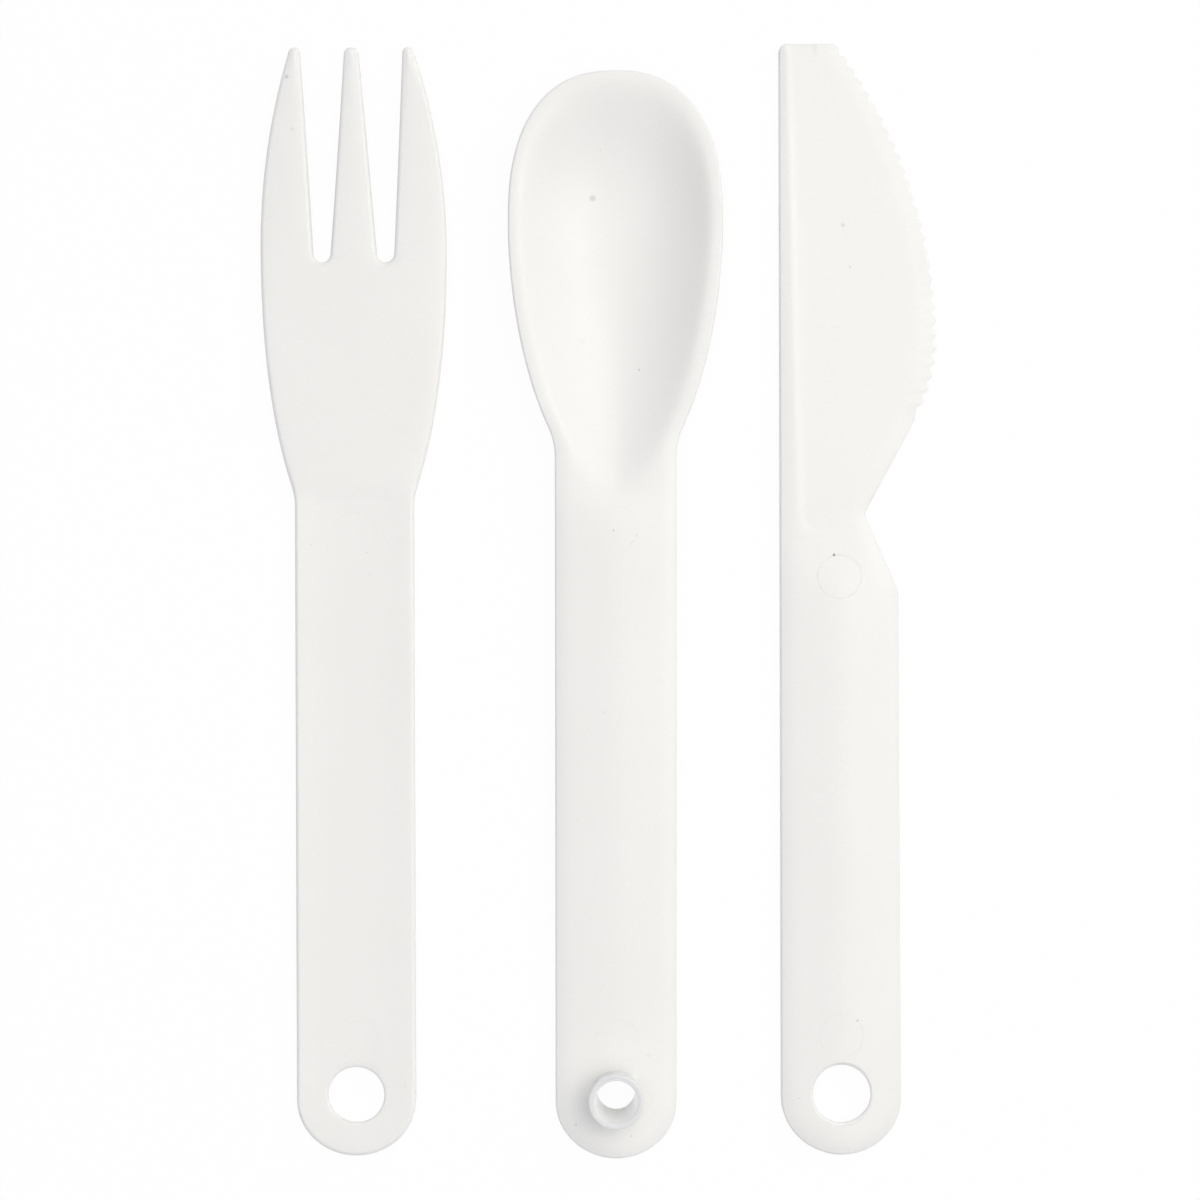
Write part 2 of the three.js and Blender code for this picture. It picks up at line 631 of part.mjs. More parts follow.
const cutlery = new THREE.Group();
cutlery.add(fork, spoon, knife);
cutlery.updateMatrixWorld(true);
spoon.position.z = -new THREE.Box3().setFromObject(spoon, true).min.z;
cutlery.updateMatrixWorld(true);
const extent = new THREE.Box3().setFromObject(cutlery, true);
const centre = extent.getCenter(new THREE.Vector3());
cutlery.position.set(-centre.x, -centre.y, -extent.min.z);

export default cutlery;
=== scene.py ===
# Plastic cutlery laid out on white: a fork, a spoon with a hollow peg, and a knife.
# Each piece is one moulding. It is drawn in millimetres with the handle's end at y = 0 and its axis
# on x = 0, then laid down where its solid lies. Skins are drawn in loops, from the underside's
# middle line out round the edge and back in over the top.

import math

import bmesh
import bpy
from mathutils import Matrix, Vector


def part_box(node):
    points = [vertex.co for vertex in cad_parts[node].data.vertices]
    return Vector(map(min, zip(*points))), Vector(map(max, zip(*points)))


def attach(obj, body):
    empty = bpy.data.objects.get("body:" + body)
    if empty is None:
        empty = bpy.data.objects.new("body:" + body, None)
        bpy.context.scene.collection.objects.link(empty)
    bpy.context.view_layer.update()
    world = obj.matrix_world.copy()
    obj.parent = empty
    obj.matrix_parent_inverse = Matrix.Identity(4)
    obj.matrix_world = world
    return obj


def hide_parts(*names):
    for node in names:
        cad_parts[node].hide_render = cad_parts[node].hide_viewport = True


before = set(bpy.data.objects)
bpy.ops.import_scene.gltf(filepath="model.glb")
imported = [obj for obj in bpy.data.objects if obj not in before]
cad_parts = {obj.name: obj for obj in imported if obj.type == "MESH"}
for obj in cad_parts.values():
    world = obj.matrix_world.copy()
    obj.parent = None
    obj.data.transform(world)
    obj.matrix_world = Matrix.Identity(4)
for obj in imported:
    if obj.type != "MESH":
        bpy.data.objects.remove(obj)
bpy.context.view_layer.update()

# Sizes that the three pieces share
HANDLE_END = 8.6
EDGE_ROUND = 0.4
SHOULDER_WIDTH = 2.3
RIDGE_SOFTNESS = 2.0
HOLE_FROM_END = 9.3
HOLE_RIM_WIDTH = 0.45
HOLE_RIM_DEPTH = 0.3
MARK_RADIUS = 3.3
MARK_DEPTH = 0.05
MARK_FROM_END = 18

# Fork
FORK_HANDLE_WIDTH = 18.1
FORK_HANDLE_LENGTH = 100.4
FORK_THICKNESS = 2.6
FORK_DISH = 0.45
FORK_ROUND = 0.65
FORK_SHOULDER = 0.06
FORK_HOLE = 8.5
FORK_HOLE_DRAFT = 0.2
FORK_UPPER_MARK = 94.8
FORK_HEAD_WIDTH = 28.3
FORK_HEAD_THICKNESS = 2.45
FORK_SHOULDER_LENGTH = 37.6
FORK_SHOULDER_ANGLE = 17.5
FORK_TAPER_LENGTH = 30.6
TINE_LENGTH = 32.5
OUTER_TIP_WIDTH = 1.7
MIDDLE_TIP_WIDTH = 2.2
TINE_SPACING = 8.6
TINE_TIP_THICKNESS = 1.6
TINE_BEND_LENGTH = 41.5
TINE_BEND_RADIUS = 210
TINE_STATION = 1.2
SLOT_WIDTH = 2.7
SLOT_SPACING = 4.85

# Spoon and its peg
SPOON_HANDLE_WIDTH = 18.4
SPOON_THICKNESS = 2.5
SPOON_CROWN = 0.6
SPOON_SHOULDER = 0.22
RIM_SHOULDER = 0.08
SPOON_UPPER_MARK = 95.6
BOWL_WIDTH = 32.5
BOWL_NOSE = 22.7
BOWL_THROAT = 41
BOWL_FROM_END = 142
BOWL_DEPTH = 4.6
BOWL_WALL = 1.6
RIM_WIDTH = 2
RIM_AT_THROAT = 0.6
NOSE_FULLNESS = 2.42
OUTER_THROAT_FULLNESS = 1.9
INNER_THROAT_FULLNESS = 1.7
BOWL_STEEPNESS = 2.4
NOSE_STEEPNESS = 1.7
BRIM_SOFTNESS = 0.15
PEG_FROM_END = 9.9
PEG_HEIGHT = 9
PEG_SHAFT = 7.1
PEG_LIP = 8.3
PEG_LIP_HEIGHT = 0.8
PEG_LIP_ROUND = 0.18
PEG_FILLET = 0.4
PEG_MOUTH_ROUND = 0.25
PEG_BORE_TOP = 6.4
PEG_BORE_BOTTOM = 5.74

# Knife
KNIFE_HANDLE_WIDTH = 18.25
KNIFE_SHOULDER_WIDTH = 18
KNIFE_HANDLE_LENGTH = 85.7
KNIFE_THICKNESS = 2.4
KNIFE_CROWN = 0.8
KNIFE_SHOULDER = 0.26
TOOTH_SHOULDER = 0.1
KNIFE_HOLE = 8.75
KNIFE_HOLE_DRAFT = 0.45
KNIFE_UPPER_MARK = 88
NECK_WIDTH = 12.85
NECK_FROM_SHOULDER = 11.7
NECK_RADIUS = 1.2
HEEL_FROM_NECK = 14.3
BLADE_WIDTH = 24
BELLY_FROM_HEEL = 12.3
POINT_FROM_BELLY = 45
BLADE_TIP_WIDTH = 8.7
SPINE_CORNER = 1.2
BLADE_SPINE_THICKNESS = 2.25
BLADE_EDGE_THICKNESS = 1.5
SPINE_BAND_TIP = 0.9
SPINE_BAND_NECK = 2.6
RECESS_SLOPE = 1.3
RECESS_STEP = 0.12
NECK_CORNER = 4
RECESS_SETTLES = 22
RECESS_FROM_NECK = 3.4
RECESS_CORNER = 3.4
HEEL_ARC = 24
TOOTH_PITCH = 2.14
TOOTH_DEPTH = 0.72
TOOTH_ROUND = 0.15
TOOTH_STEPS = 10
TEETH_SHIFT = 0.5
TIP_CORNER = 0.4
SHARPENED_WIDTH = 2.6
SHARPENED_DROP = 0.25

# Slight leans of the pieces as they were laid out by hand, in degrees
FORK_LEAN = 0.2
SPOON_LEAN = 0.05
KNIFE_LEAN = 0.13

# Where the peg's bore stands as the pieces lie
BORE_AXIS = (2.63, -74.95)

# Lines of the ejector pins' rims as the pieces lie: x, y, strength and width
PIN_RINGS = [
    (-37.12, 10.19, 0.02, 0.2),
    (-36.85, -66.54, 0.02, 0.2),
    (2.75, 10.98, 0.02, 0.2),
    (2.76, -66.78, 0.025, 0.2),
    (36.57, 3.64, 0.16, 0.11),
    (36.86, -66.01, 0.035, 0.22),
]

# Dark specks in the plastic as the pieces lie: x, y, strength and radius
SPECKS = [
    (-47.17, 79.20, 0.3, 0.36),
    (-46.48, 71.44, 0.12, 0.36),
    (-35.32, 7.34, 0.2, 0.14),
    (-34.85, 3.94, 0.2, 0.14),
    (-43.77, 8.53, 0.2, 0.14),
    (-38.45, -69.26, 0.2, 0.14),
    (-29.38, -73.96, 0.2, 0.14),
    (-27.95, -74.72, 0.2, 0.14),
    (-0.95, 61.21, 0.24, 0.6),
    (-2.50, 39.37, 0.05, 0.5),
    (6.11, 35.08, 0.5, 0.16),
    (0.23, 68.38, 0.3, 0.12),
    (17.39, 68.88, 0.3, 0.2),
    (2.22, 10.59, 0.4, 0.16),
    (5.76, 9.88, 0.2, 0.14),
    (5.22, 8.97, 0.2, 0.14),
    (4.87, 8.59, 0.2, 0.14),
    (0.79, -16.86, 0.3, 0.12),
    (-3.46, -79.63, 0.35, 0.16),
    (4.96, -81.30, 0.35, 0.16),
    (7.62, -69.00, 0.06, 0.5),
    (37.16, 57.17, 0.2, 0.38),
    (38.23, 50.77, 0.45, 0.14),
    (35.75, 6.94, 0.8, 0.26),
    (39.26, -63.76, 0.5, 0.16),
    (30.53, -75.66, 0.3, 0.13),
]

# Colours of the plastic, and painted shade and painted light for the peg
IVORY = (0.868, 0.860, 0.838)
PALE_IVORY = (0.885, 0.880, 0.862)
GRAIN_GREY = (0.81, 0.80, 0.785)
# Painted shade on the peg's flat lip
LIP_PAINTED_SHADE = (0.72, 0.72, 0.73)
# Painted light in the peg's bore
BORE_PAINTED_LIGHT = (0.95, 0.945, 0.93)
SPECK_BROWN = (0.16, 0.15, 0.14)

# Light of the lamps
DAYLIGHT = (1.0, 0.976, 0.87)
SOFT_DAYLIGHT = (1.0, 0.98, 0.89)

MILLIMETRE = 0.001
ROUND_STEPS = 6

# Shares of the way out from a middle line at which the faces have their loops
HANDLE_STOPS = [0.97, 0.93, 0.89, 0.84, 0.79, 0.73, 0.66, 0.58, 0.5]
HANDLE_STOPS += [0.42, 0.34, 0.26, 0.19, 0.13, 0.08, 0.04, 0.0]
UNDERSIDE_STOPS = [1.0, 0.66, 0.33, 0.0]
BOWL_STOPS = [1.02, 1.0, 0.98, 0.955, 0.925, 0.89, 0.85, 0.8, 0.75, 0.69, 0.63, 0.56, 0.49, 0.41]
BOWL_STOPS += [0.33, 0.25, 0.17, 0.09, 0.0]
BAND_STOPS = [0.8, 0.6, 0.4, 0.2]
SLOPE_STOPS = [1, 0.75, 0.5, 0.25]
SHARPENED_STOPS = [0.88, 0.76, 0.64, 0.5, 0.36, 0.22, 0.1, 0.03]
BLADE_STOPS = [0.86, 0.74, 0.62, 0.5, 0.38, 0.26, 0.12, 0.0]


def at(x, y):
    return Vector((x, y))


def lerp(a, b, share):
    return a + (b - a) * share


def clamp(value):
    return min(1.0, max(0.0, value))


def ease(value):
    share = clamp(value)
    return share * share * (3 - 2 * share)


def spaced(start, stop, pitch):
    """Evenly spaced values from one end to the other, both included."""
    count = max(1, round(abs(stop - start) / pitch))
    return [lerp(start, stop, i / count) for i in range(count + 1)]


def arc(centre, radius, start, stop, steps):
    angles = [lerp(start, stop, i / steps) for i in range(steps + 1)]
    return [at(centre.x + radius * math.cos(a), centre.y + radius * math.sin(a)) for a in angles]


def angle_of(vector):
    return math.atan2(vector.y, vector.x)


def rounded_corner(before, corner, after, radius, steps):
    """Corner of an outline rounded to a radius that touches both of its sides."""
    inward = (before - corner).normalized()
    outward = (after - corner).normalized()
    half_angle = math.acos(inward.dot(outward)) / 2
    centre = corner + (inward + outward).normalized() * (radius / math.sin(half_angle))
    reach = radius / math.tan(half_angle)
    first = angle_of(corner + inward * reach - centre)
    turn = angle_of(corner + outward * reach - centre) - first
    sweep = turn - 2 * math.pi * round(turn / (2 * math.pi))
    return arc(centre, radius, first, first + sweep, steps)


def cross_tangent(first, first_radius, second, second_radius, side):
    """Angles at which a line that passes between two circles touches the first and the second."""
    along = second - first
    angle = angle_of(along) - side * math.acos((first_radius + second_radius) / along.length)
    return angle, angle + side * math.pi


def quadratic(start, corner, stop, steps):
    points = []
    for i in range(steps + 1):
        share = i / steps
        points.append(start.lerp(corner, share).lerp(corner.lerp(stop, share), share))
    return points


def cubic(start, first, second, stop, steps):
    points = []
    for i in range(steps + 1):
        share = i / steps
        near = start.lerp(first, share).lerp(first.lerp(second, share), share)
        far = first.lerp(second, share).lerp(second.lerp(stop, share), share)
        points.append(near.lerp(far, share))
    return points


def stretch(points, facing):
    """A stretch of an outline: each point comes with the point of the middle line that it faces."""
    return [(point, facing(point)) for point in points]


def on_axis(point):
    return at(0, point.y)


def handle_end(half_width, start, stop, steps):
    """Round end of a handle, a little flatter than a half circle."""
    unit = arc(at(0, 0), 1, start, stop, steps)
    points = [at(half_width * p.x, HANDLE_END * (1 + p.y)) for p in unit]
    return stretch(points, lambda point: at(0, HANDLE_END))


def mirrored(half):
    """Whole outline from its right half, which runs from the handle's end to the head."""
    other = [(at(-p.x, p.y), at(-m.x, m.y)) for p, m in reversed(half[1:-1])]
    return half + other


def inward_at(outline):
    """Inward direction at each point of an outline that runs anticlockwise, longer at corners."""
    count = len(outline)
    sides = []
    for i in range(count):
        along = (outline[(i + 1) % count][0] - outline[i][0]).normalized()
        sides.append(at(-along.y, along.x))
    result = []
    for i in range(count):
        before, after = sides[i - 1], sides[i]
        result.append((before + after) / (1 + before.dot(after)))
    return result


def crossing(middle, edge, field):
    """Share of the way out from the middle at which a field turns from negative to positive."""
    if field(middle.x, middle.y) >= 0:
        return 0.0
    if field(edge.x, edge.y) <= 0:
        return 1.0
    inside, outside = 0.0, 1.0
    for _ in range(26):
        share = (inside + outside) / 2
        place = middle.lerp(edge, share)
        if field(place.x, place.y) < 0:
            inside = share
        else:
            outside = share
    return (inside + outside) / 2


def plate(outline, thickness, lower, upper, lower_stops, upper_stops, rounding, shoulder):
    """Loops of a plate between two surfaces, rounded all round its edge.

    Beside the edge the upper face falls off in a soft shoulder.
    """
    inward = inward_at(outline)
    edge = [point + inward[i] * rounding(i) for i, (point, _) in enumerate(outline)]

    def loop(places, shares, inside):
        result = []
        for i, (place, share) in enumerate(zip(places, shares)):
            reach = (edge[i] - outline[i][1]).length
            from_edge = inside[i] * reach / max(1e-6, min(reach, SHOULDER_WIDTH))
            drop = shoulder(i) * clamp(1 - from_edge) ** 2
            bottom = lower(place.x, place.y)
            height = lerp(bottom, upper(place.x, place.y) - drop, share)
            result.append(Vector((place.x, place.y, height)))
        return result

    def face(stops, share):
        rows = [stops(point, middle, edge[i]) for i, (point, middle) in enumerate(outline)]
        loops = []
        for k in range(len(rows[0])):
            places = [middle.lerp(edge[i], rows[i][k]) for i, (_, middle) in enumerate(outline)]
            inside = [1 - row[k] for row in rows]
            loops.append(loop(places, [share] * len(outline), inside))
        return loops

    def bend(over):
        loops = []
        for k in range(ROUND_STEPS + 1):
            angle = k * math.pi / (2 * ROUND_STEPS)
            places = []
            shares = []
            for i, (point, _) in enumerate(outline):
                places.append(point + inward[i] * rounding(i) * (1 - math.sin(angle)))
                sunk = rounding(i) / thickness * (1 - math.cos(angle))
                shares.append(1 - sunk if over else sunk)
            loops.append(loop(places, shares, [0] * len(outline)))
        return loops

    under = face(lower_stops, 0)
    return under[::-1] + bend(False) + bend(True)[::-1] + face(upper_stops, 1)


def deselect_all():
    bpy.ops.object.select_all(action="DESELECT")


def skin(name, loops):
    """Closed skin: the first loop is a ring of points, and each next one is extruded from it."""
    deselect_all()
    bpy.ops.mesh.primitive_circle_add(vertices=len(loops[0]), radius=1)
    piece = bpy.context.object
    piece.name = name
    bpy.ops.object.mode_set(mode="EDIT")
    count = len(loops[0])
    for step, loop in enumerate(loops):
        if step:
            bpy.ops.mesh.extrude_region_move()
        ring = bmesh.from_edit_mesh(piece.data)
        ring.verts.ensure_lookup_table()
        for i, place in enumerate(loop):
            ring.verts[step * count + i].co = place * MILLIMETRE
    bpy.ops.mesh.select_all(action="SELECT")
    bpy.ops.mesh.remove_doubles(threshold=0.00000005)
    bpy.ops.mesh.dissolve_degenerate(threshold=0.00000002)
    bpy.ops.mesh.normals_make_consistent(inside=False)
    bpy.ops.object.mode_set(mode="OBJECT")
    return piece


def turned(name, profile, y, steps=96):
    """Body turned round a vertical axis through (0, y) from a profile of (radius, height)."""
    loops = []
    for radius, height in profile:
        ring = arc(at(0, y), radius, 0, 2 * math.pi, steps)[:-1]
        loops.append([Vector((p.x, p.y, height)) for p in ring])
    return skin(name, loops)


def combine(piece, tool, operation):
    """Cuts a tool out of a piece or joins it to the piece, and removes the tool."""
    deselect_all()
    bpy.context.view_layer.objects.active = piece
    piece.select_set(True)
    modifier = piece.modifiers.new("combine", "BOOLEAN")
    modifier.operation = operation
    modifier.solver = "EXACT"
    modifier.object = tool
    bpy.ops.object.modifier_apply(modifier="combine")
    bpy.data.objects.remove(tool)


def copy_of(piece, name, drop):
    """Copy of a piece with its own mesh, a little lower."""
    result = piece.copy()
    result.data = piece.data.copy()
    result.name = name
    bpy.context.scene.collection.objects.link(result)
    for vertex in result.data.vertices:
        vertex.co.z -= drop * MILLIMETRE
    return result


def press_mark(piece, y):
    """Faint round mark of an ejector pin: inside it the upper face lies a little lower."""
    pin = turned("pin", [(0, 1), (MARK_RADIUS, 1), (MARK_RADIUS, 5), (0, 5)], y)
    combine(pin, copy_of(piece, "lowered", MARK_DEPTH), "DIFFERENCE")
    combine(piece, pin, "DIFFERENCE")


def drill(piece, diameter, top, draft):
    """Round hole through a handle's end: a soft rim above, and it widens a little downwards."""
    radius = diameter / 2
    rim = [(1 - math.cos(a * math.pi / 16), math.sin(a * math.pi / 16)) for a in range(9)]
    upper = [(radius + HOLE_RIM_WIDTH * out, top - HOLE_RIM_DEPTH * (1 - up)) for out, up in rim]
    profile = [(0, -1), (radius + draft, -1), (radius + draft, 0)] + upper
    profile += [(radius + HOLE_RIM_WIDTH, top + 1), (0, top + 1)]
    combine(piece, turned("drill", profile, HOLE_FROM_END), "DIFFERENCE")


def smooth(piece):
    deselect_all()
    piece.select_set(True)
    bpy.context.view_layer.objects.active = piece
    bpy.ops.object.shade_smooth_by_angle(angle=math.radians(32))


def lay_down(piece, node, lean, tilt=0.0):
    """Turns a finished piece as it lies and sets it where its solid is."""
    piece.rotation_mode = "XYZ"
    piece.rotation_euler = (tilt, 0, math.radians(lean))
    deselect_all()
    piece.select_set(True)
    bpy.context.view_layer.objects.active = piece
    bpy.ops.object.transform_apply(location=False, rotation=True, scale=False)
    low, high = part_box(node)
    here = [Vector(v.co) for v in piece.data.vertices]
    for axis in range(3):
        own_low = min(v[axis] for v in here)
        own_high = max(v[axis] for v in here)
        middle = (low[axis] + high[axis] - own_low - own_high) / 2
        piece.location[axis] = low[axis] - own_low if axis == 2 else middle
    bpy.ops.object.transform_apply(location=True, rotation=False, scale=False)


def ridge(x, half_width):
    """Low ridge along a handle, soft at its top: 1 on the axis and 0 at the edge."""
    rise = math.hypot(x, RIDGE_SOFTNESS) - RIDGE_SOFTNESS
    full = math.hypot(half_width, RIDGE_SOFTNESS) - RIDGE_SOFTNESS
    return max(0.0, 1 - rise / full)


def make_fork():
    """Dished handle, flat head and three tines that bend upwards."""
    handle_half = FORK_HANDLE_WIDTH / 2
    head_half = FORK_HEAD_WIDTH / 2
    outer_tip_radius = OUTER_TIP_WIDTH / 2
    middle_tip_radius = MIDDLE_TIP_WIDTH / 2
    slot_radius = SLOT_WIDTH / 2
    widest_at = FORK_HANDLE_LENGTH + FORK_SHOULDER_LENGTH
    length = widest_at + FORK_TAPER_LENGTH
    bend_from = length - TINE_BEND_LENGTH
    neck_from = FORK_HANDLE_LENGTH - 1
    neck_to = FORK_HANDLE_LENGTH + 2.6

    # Neck and shoulder
    lean = math.radians(FORK_SHOULDER_ANGLE)
    slope = at(math.sin(lean), math.cos(lean))
    neck = at(handle_half, FORK_HANDLE_LENGTH)
    shoulder_start = neck + slope * (neck_to - FORK_HANDLE_LENGTH)
    neck_curve = quadratic(at(handle_half, neck_from), neck, shoulder_start, 8)
    shoulder = cubic(
        shoulder_start,
        shoulder_start + slope * (FORK_SHOULDER_LENGTH / 4),
        at(head_half, widest_at - FORK_SHOULDER_LENGTH * 0.37),
        at(head_half, widest_at),
        44,
    )

    # The outer edge is one arc, upright at the widest place, that touches the outer tine's tip
    middle_tip = at(0, length - middle_tip_radius)
    outer_tip = at(TINE_SPACING, length - outer_tip_radius)
    inset = head_half - outer_tip.x
    rise = outer_tip.y - widest_at
    outer_radius = (inset**2 + rise**2 - outer_tip_radius**2) / (2 * (inset - outer_tip_radius))
    outer_centre = at(head_half - outer_radius, widest_at)
    outer_angle = math.atan2(rise, outer_tip.x - outer_centre.x)

    def outer_edge(y):
        return at(outer_centre.x + math.sqrt(outer_radius**2 - (y - widest_at) ** 2), y)

    # Each slot runs from a round end, and its sides are straight up to the round tips
    root = length - TINE_LENGTH
    slot_end = at(SLOT_SPACING, root + slot_radius)
    slot_outer, tip_inner = cross_tangent(slot_end, slot_radius, outer_tip, outer_tip_radius, 1)
    slot_inner, tip_outer = cross_tangent(slot_end, slot_radius, middle_tip, middle_tip_radius, -1)

    def touch(centre, radius, angle):
        return arc(centre, radius, angle, angle, 1)[0]

    def side(start, stop):
        return lambda y: at(lerp(start.x, stop.x, (y - start.y) / (stop.y - start.y)), y)

    inner_side = side(
        touch(slot_end, slot_radius, slot_outer), touch(outer_tip, outer_tip_radius, tip_inner)
    )
    middle_side = side(
        touch(middle_tip, middle_tip_radius, tip_outer), touch(slot_end, slot_radius, slot_inner)
    )

    # Middle lines: the axis, and one up each outer tine that leaves the axis below the slots
    branch = at(0, root - 4)
    stations = spaced(root + 2 * slot_radius, outer_tip.y - 1.0, TINE_STATION)
    outer_root = at((head_half + slot_end.x + slot_radius) / 2, root + slot_radius)
    outer_middle = side(outer_root, outer_tip)

    def turned_back(angle):
        return angle - 2 * math.pi if angle > 0 else angle

    def slot_middle(point):
        return outer_root if point.x > slot_end.x - 0.01 else branch

    half = handle_end(handle_half, -math.pi / 2, 0, 28)
    half += stretch([at(handle_half, y) for y in spaced(HANDLE_END, neck_from, 3)[1:-1]], on_axis)
    half += stretch(neck_curve, on_axis)
    below = [p for p in shoulder[1:] if p.y < branch.y]
    half += stretch(below[:-1], on_axis)
    half += stretch(below[-1:], lambda p: branch)
    half += stretch([p for p in shoulder[1:-1] if p.y >= branch.y], lambda p: outer_root)
    below_stations = spaced(widest_at, stations[0], 0.9)[:-1]
    half += stretch([outer_edge(y) for y in below_stations], lambda p: outer_root)
    half += stretch([outer_edge(y) for y in stations], lambda p: outer_middle(p.y))
    half += stretch(arc(outer_tip, outer_tip_radius, outer_angle, tip_inner, 20), lambda p: outer_tip)
    half += stretch([inner_side(y) for y in stations[::-1]], lambda p: outer_middle(p.y))
    slot = arc(slot_end, slot_radius, turned_back(slot_outer), turned_back(slot_inner), 26)
    half += stretch(slot, slot_middle)
    half += stretch([middle_side(y) for y in stations], on_axis)
    half += stretch(arc(middle_tip, middle_tip_radius, tip_outer, math.pi / 2, 11), lambda p: middle_tip)

    def upper(x, y):
        dish = FORK_DISH * (1 - clamp(abs(x) / handle_half) ** 3)
        along = clamp((y - bend_from) / TINE_BEND_LENGTH)
        head = lerp(FORK_HEAD_THICKNESS, TINE_TIP_THICKNESS, along)
        return lerp(FORK_THICKNESS - dish, head, ease((y - neck_from) / (neck_to - neck_from)))

    loops = plate(
        mirrored(half),
        FORK_THICKNESS,
        lambda x, y: 0.0,
        upper,
        lambda point, middle, edge: UNDERSIDE_STOPS,
        lambda point, middle, edge: HANDLE_STOPS,
        lambda i: FORK_ROUND,
        lambda i: FORK_SHOULDER,
    )
    for loop in loops:
        for point in loop:
            if point.y > bend_from:
                angle = (point.y - bend_from) / TINE_BEND_RADIUS
                arm = TINE_BEND_RADIUS - point.z
                point.y = bend_from + arm * math.sin(angle)
                point.z = TINE_BEND_RADIUS - arm * math.cos(angle)
    piece = skin("fork_moulding", loops)
    press_mark(piece, MARK_FROM_END)
    press_mark(piece, FORK_UPPER_MARK)
    drill(piece, FORK_HOLE, FORK_THICKNESS - FORK_DISH + 0.05, FORK_HOLE_DRAFT)
    smooth(piece)
    lay_down(piece, "fork", FORK_LEAN)
    return piece


def egg(x, y, half_width, nose, throat):
    """Field that is below 1 inside the bowl's egg-shaped plan and 1 on its edge."""
    above = y > BOWL_FROM_END
    fullness = NOSE_FULLNESS if above else INNER_THROAT_FULLNESS
    across = (abs(x) / half_width) ** fullness
    along = (abs(y - BOWL_FROM_END) / (nose if above else throat)) ** fullness
    return (across + along) ** (1 / fullness)


def egg_point(angle, half_width, reach, fullness):
    across = max(0.0, math.cos(angle)) ** (2 / fullness)
    along = max(0.0, math.sin(angle)) ** (2 / fullness)
    return at(half_width * across, BOWL_FROM_END + reach * along)


def make_spoon():
    """Crowned handle, rimmed bowl with a belly that stands below the handle, and the peg."""
    handle_half = SPOON_HANDLE_WIDTH / 2
    bowl_half = BOWL_WIDTH / 2
    inner_half = bowl_half - RIM_WIDTH
    inner_nose = BOWL_NOSE - RIM_WIDTH
    inner_throat = BOWL_THROAT - RIM_AT_THROAT
    throat_end = BOWL_FROM_END - inner_throat
    grown = BOWL_WALL / 2
    belly_drop = BOWL_DEPTH + BOWL_WALL - SPOON_THICKNESS

    def throat_point(angle):
        return egg_point(angle, bowl_half, -BOWL_THROAT, OUTER_THROAT_FULLNESS)

    def nose_point(angle):
        return egg_point(angle, bowl_half, BOWL_NOSE, NOSE_FULLNESS)

    def hollow(x, y):
        return egg(x, y, inner_half, inner_nose, inner_throat)

    def belly(x, y):
        return egg(x, y, inner_half + grown, inner_nose + grown, inner_throat + grown)

    # The handle runs up to where the bowl is as wide as it is, and a short blend leads over
    meeting = throat_point(math.acos((handle_half / bowl_half) ** (OUTER_THROAT_FULLNESS / 2))).y
    blend = 2.5
    reach = (BOWL_FROM_END - meeting - blend) / BOWL_THROAT
    blend_end = math.asin(reach ** (OUTER_THROAT_FULLNESS / 2))
    neck = quadratic(
        at(handle_half, meeting - blend), at(handle_half, meeting), throat_point(blend_end), 7
    )
    crown_fades = throat_end - 6
    nose_middle = at(0, BOWL_FROM_END + inner_nose - inner_half)
    half = handle_end(handle_half, -math.pi / 2, 0, 28)
    straight = spaced(HANDLE_END, crown_fades, 3)[1:] + spaced(crown_fades, meeting - blend, 0.8)[1:-1]
    half += stretch([at(handle_half, y) for y in straight], on_axis)
    half += stretch(neck, on_axis)
    half += stretch([throat_point(a) for a in spaced(blend_end, 0, 0.02)[1:]], on_axis)
    nose = [nose_point(a) for a in spaced(0, math.pi / 2, 0.02)[1:]]
    half += stretch(nose, lambda p: on_axis(p) if p.y < nose_middle.y else nose_middle)

    def sinking(field, y):
        toward_nose = ease((y - BOWL_FROM_END) / inner_nose)
        depth = 1 - field ** lerp(BOWL_STEEPNESS, NOSE_STEEPNESS, toward_nose)
        return (depth + math.hypot(depth, BRIM_SOFTNESS)) / 2

    def upper(x, y):
        crown = SPOON_CROWN * ridge(x, handle_half) * (1 - ease((y - crown_fades) / 8))
        return SPOON_THICKNESS + crown - BOWL_DEPTH * sinking(hollow(x, y), y)

    def underside(x, y):
        return -belly_drop * sinking(belly(x, y), y)

    def upper_stops(point, middle, edge):
        brim = crossing(middle, edge, lambda x, y: hollow(x, y) - 1)
        rim = [lerp(brim * 1.02, 1, share) for share in HANDLE_STOPS[:-1]]
        return rim + [share * brim for share in BOWL_STOPS]

    def lower_stops(point, middle, edge):
        brim = crossing(middle, edge, lambda x, y: belly(x, y) - 1)
        return [1.0, lerp(brim, 1, 0.5)] + [share * brim for share in BOWL_STOPS[1:]]

    outline = mirrored(half)

    def shoulder(i):
        return lerp(SPOON_SHOULDER, RIM_SHOULDER, ease((outline[i][0].y - meeting) / 6))

    loops = plate(
        outline,
        SPOON_THICKNESS,
        underside,
        upper,
        lower_stops,
        upper_stops,
        lambda i: EDGE_ROUND,
        shoulder,
    )
    piece = skin("spoon_moulding", loops)
    press_mark(piece, MARK_FROM_END)
    press_mark(piece, SPOON_UPPER_MARK)
    raise_peg(piece, SPOON_THICKNESS + SPOON_CROWN * ridge(PEG_SHAFT / 2, handle_half))
    smooth(piece)
    axis = spaced(throat_end, BOWL_FROM_END, 0.5)
    rest_angle = max(math.atan2(-underside(0, y), y - EDGE_ROUND) for y in axis)
    lay_down(piece, "spoon", SPOON_LEAN, rest_angle)
    return piece


